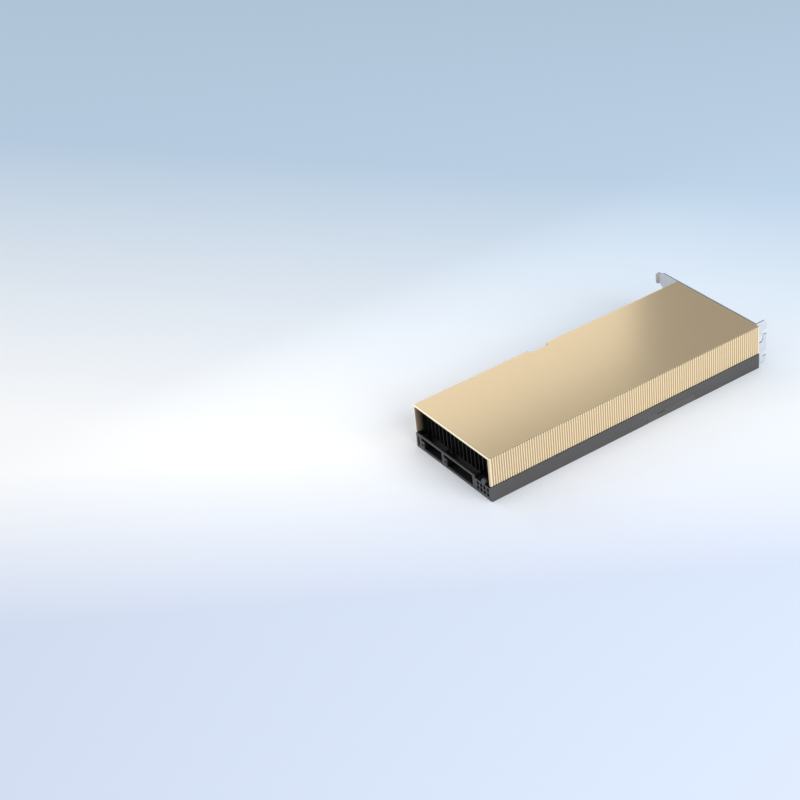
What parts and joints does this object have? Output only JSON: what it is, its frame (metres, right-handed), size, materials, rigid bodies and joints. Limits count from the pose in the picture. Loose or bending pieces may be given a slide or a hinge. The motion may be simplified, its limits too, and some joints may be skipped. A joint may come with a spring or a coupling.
{
  "type": "passive accelerator card",
  "caption": "Full-height, dual-slot server accelerator card with a passive finned heatsink under a fluted gold cover, open at both ends, with a steel slot bracket.",
  "frame": {"origin": "middle of the back face, under the cover", "axes": "+X towards the slot bracket, +Y towards the edge connector, +Z out of the heatsink side"},
  "size_m": [0.2791, 0.1224, 0.0393],
  "materials": {
    "gold_anodised": "satin anodised",
    "dark_anodised": "fine matt anodised",
    "black_anodised": "matt black anodised",
    "bright_aluminium": "machined",
    "plated_steel": "zinc plated",
    "black_steel": "black oxide",
    "board_laminate": "solder mask",
    "gold_contact": "plated",
    "silicon": "polished",
    "package_laminate": "matt",
    "thermal_compound": "soft",
    "thermal_pad": "soft",
    "ferrite": "matt",
    "moulding_compound": "matt",
    "capacitor_ceramic": "matt",
    "header_plastic": "moulded",
    "tinned_copper": "tinned",
    "cap_plastic": "fine matt",
    "clear_film": "matt film"
  },
  "bodies": {
    "root": {"top_cover": "gold_anodised", "cover_screws": "black_steel", "chassis_frame": "dark_anodised", "backplate": "dark_anodised", "insulating_film": "clear_film", "board_spacers": "plated_steel", "backplate_screws": "black_steel", "circuit_board": "board_laminate", "edge_contacts": "gold_contact", "bridge_contacts": "gold_contact", "processor_substrate": "package_laminate", "package_interposer": "silicon", "processor_die": "silicon", "memory_stacks": "silicon", "stiffener_ring": "plated_steel", "thermal_interface": "thermal_compound", "power_stages": "moulding_compound", "inductors": "ferrite", "bulk_capacitors": "moulding_compound", "ceramic_capacitors": "capacitor_ceramic", "control_chips": "moulding_compound", "inductor_pads": "thermal_pad", "power_stage_pads": "thermal_pad", "heatsink_base": "black_anodised", "heatsink_fins": "black_anodised", "spring_plate": "plated_steel", "heatsink_screws": "plated_steel", "power_connector_housing": "header_plastic", "power_connector_pins": "tinned_copper", "bridge_cover": "cap_plastic", "slot_bracket": "plated_steel", "bracket_screws": "plated_steel"}
  },
  "joints": []
}
